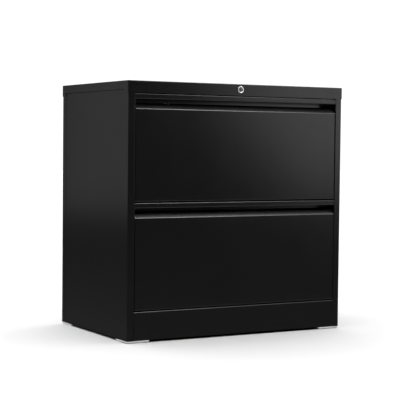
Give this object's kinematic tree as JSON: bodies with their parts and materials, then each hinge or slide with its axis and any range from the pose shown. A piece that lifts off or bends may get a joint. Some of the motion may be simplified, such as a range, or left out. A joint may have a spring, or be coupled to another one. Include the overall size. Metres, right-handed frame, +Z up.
{
  "type": "lateral filing cabinet",
  "caption": "Black steel lateral filing cabinet: wide drawers with recessed pulls on ball runners, file bars, a lock in the top's rim that lifts a lock bar, a plinth and corner feet.",
  "frame": {"origin": "on the floor, under the middle of the cabinet's box, lock face included", "axes": "+Z up, +Y to the back, +X to the right as seen from the front"},
  "size_m": [0.71, 0.452, 0.72],
  "materials": {
    "black_powder_coat": "satin black powder coat on sheet steel",
    "zinc_plate": "bright zinc-plated steel",
    "chrome_plate": "polished chrome plate",
    "pale_plastic": "pale moulded plastic"
  },
  "bodies": {
    "cabinet": {"left_side_panel": "black_powder_coat", "right_side_panel": "black_powder_coat", "back_panel": "black_powder_coat", "top_panel": "black_powder_coat", "bottom_panel": "black_powder_coat", "plinth": "black_powder_coat", "header_rail": "black_powder_coat", "middle_rail": "black_powder_coat", "left_rear_upright": "black_powder_coat", "right_rear_upright": "black_powder_coat", "front_left_foot": "pale_plastic", "front_right_foot": "pale_plastic", "rear_left_foot": "pale_plastic", "rear_right_foot": "pale_plastic", "carcass_screws": "black_powder_coat", "runner_screws": "zinc_plate", "lock_barrel": "chrome_plate", "lock_nut": "zinc_plate", "lock_guides": "pale_plastic", "lower_left_cabinet_runner": "zinc_plate", "lower_right_cabinet_runner": "zinc_plate", "upper_left_cabinet_runner": "zinc_plate", "upper_right_cabinet_runner": "zinc_plate"},
    "lower_drawer": {"lower_drawer_front": "black_powder_coat", "lower_pull_trough": "black_powder_coat", "lower_drawer_liner": "black_powder_coat", "lower_left_drawer_side": "black_powder_coat", "lower_right_drawer_side": "black_powder_coat", "lower_drawer_back": "black_powder_coat", "lower_drawer_bottom": "black_powder_coat", "lower_drawer_catch": "black_powder_coat", "lower_left_drawer_runner": "zinc_plate", "lower_right_drawer_runner": "zinc_plate", "lower_drawer_screws": "zinc_plate"},
    "lower_middle_runners": {"lower_left_middle_runner": "zinc_plate", "lower_right_middle_runner": "zinc_plate"},
    "lower_outer_cages": {"lower_outer_ball_cages": "zinc_plate"},
    "lower_inner_cages": {"lower_inner_ball_cages": "zinc_plate"},
    "lower_left_file_bar_body": {"lower_left_file_bar": "zinc_plate"},
    "lower_right_file_bar_body": {"lower_right_file_bar": "zinc_plate"},
    "upper_drawer": {"upper_drawer_front": "black_powder_coat", "upper_pull_trough": "black_powder_coat", "upper_drawer_liner": "black_powder_coat", "upper_left_drawer_side": "black_powder_coat", "upper_right_drawer_side": "black_powder_coat", "upper_drawer_back": "black_powder_coat", "upper_drawer_bottom": "black_powder_coat", "upper_drawer_catch": "black_powder_coat", "upper_left_drawer_runner": "zinc_plate", "upper_right_drawer_runner": "zinc_plate", "upper_drawer_screws": "zinc_plate"},
    "upper_middle_runners": {"upper_left_middle_runner": "zinc_plate", "upper_right_middle_runner": "zinc_plate"},
    "upper_outer_cages": {"upper_outer_ball_cages": "zinc_plate"},
    "upper_inner_cages": {"upper_inner_ball_cages": "zinc_plate"},
    "upper_left_file_bar_body": {"upper_left_file_bar": "zinc_plate"},
    "upper_right_file_bar_body": {"upper_right_file_bar": "zinc_plate"},
    "lock": {"lock_plug": "chrome_plate", "lock_rod": "zinc_plate"},
    "lock_bar_body": {"lock_bar": "zinc_plate"}
  },
  "joints": [
    {"name": "lower_drawer_slide", "type": "slide", "parent": "cabinet", "child": "lower_drawer", "axis": [0, -1, 0], "range_m": [0, 0.36]},
    {"name": "lower_middle_runners_slide", "type": "slide", "parent": "cabinet", "child": "lower_middle_runners", "axis": [0, -1, 0], "range_m": [0, 0.18]},
    {"name": "lower_outer_cages_slide", "type": "slide", "parent": "cabinet", "child": "lower_outer_cages", "axis": [0, -1, 0], "range_m": [0, 0.09]},
    {"name": "lower_inner_cages_slide", "type": "slide", "parent": "cabinet", "child": "lower_inner_cages", "axis": [0, -1, 0], "range_m": [0, 0.27]},
    {"name": "lower_left_file_bar_slide", "type": "slide", "parent": "lower_drawer", "child": "lower_left_file_bar_body", "axis": [1, 0, 0], "range_m": [-0.145, 0.145]},
    {"name": "lower_right_file_bar_slide", "type": "slide", "parent": "lower_drawer", "child": "lower_right_file_bar_body", "axis": [1, 0, 0], "range_m": [-0.145, 0.145]},
    {"name": "upper_drawer_slide", "type": "slide", "parent": "cabinet", "child": "upper_drawer", "axis": [0, -1, 0], "range_m": [0, 0.36]},
    {"name": "upper_middle_runners_slide", "type": "slide", "parent": "cabinet", "child": "upper_middle_runners", "axis": [0, -1, 0], "range_m": [0, 0.18]},
    {"name": "upper_outer_cages_slide", "type": "slide", "parent": "cabinet", "child": "upper_outer_cages", "axis": [0, -1, 0], "range_m": [0, 0.09]},
    {"name": "upper_inner_cages_slide", "type": "slide", "parent": "cabinet", "child": "upper_inner_cages", "axis": [0, -1, 0], "range_m": [0, 0.27]},
    {"name": "upper_left_file_bar_slide", "type": "slide", "parent": "upper_drawer", "child": "upper_left_file_bar_body", "axis": [1, 0, 0], "range_m": [-0.145, 0.145]},
    {"name": "upper_right_file_bar_slide", "type": "slide", "parent": "upper_drawer", "child": "upper_right_file_bar_body", "axis": [1, 0, 0], "range_m": [-0.145, 0.145]},
    {"name": "lock_turn", "type": "hinge", "parent": "cabinet", "child": "lock", "pos_m": [0, 0, 0.704], "axis": [0, 1, 0], "range_deg": [0, 90]},
    {"name": "lock_bar_lift", "type": "slide", "parent": "cabinet", "child": "lock_bar_body", "axis": [0, 0, 1], "range_m": [0, 0.01273]}
  ],
  "couplings": [
    {"joint": "lower_middle_runners_slide", "follows": "lower_drawer_slide", "ratio": 0.5},
    {"joint": "lower_outer_cages_slide", "follows": "lower_drawer_slide", "ratio": 0.25},
    {"joint": "lower_inner_cages_slide", "follows": "lower_drawer_slide", "ratio": 0.75},
    {"joint": "upper_middle_runners_slide", "follows": "upper_drawer_slide", "ratio": 0.5},
    {"joint": "upper_outer_cages_slide", "follows": "upper_drawer_slide", "ratio": 0.25},
    {"joint": "upper_inner_cages_slide", "follows": "upper_drawer_slide", "ratio": 0.75},
    {"joint": "lock_turn", "follows": "lock_bar_lift", "rad_per_m": 123.41}
  ]
}
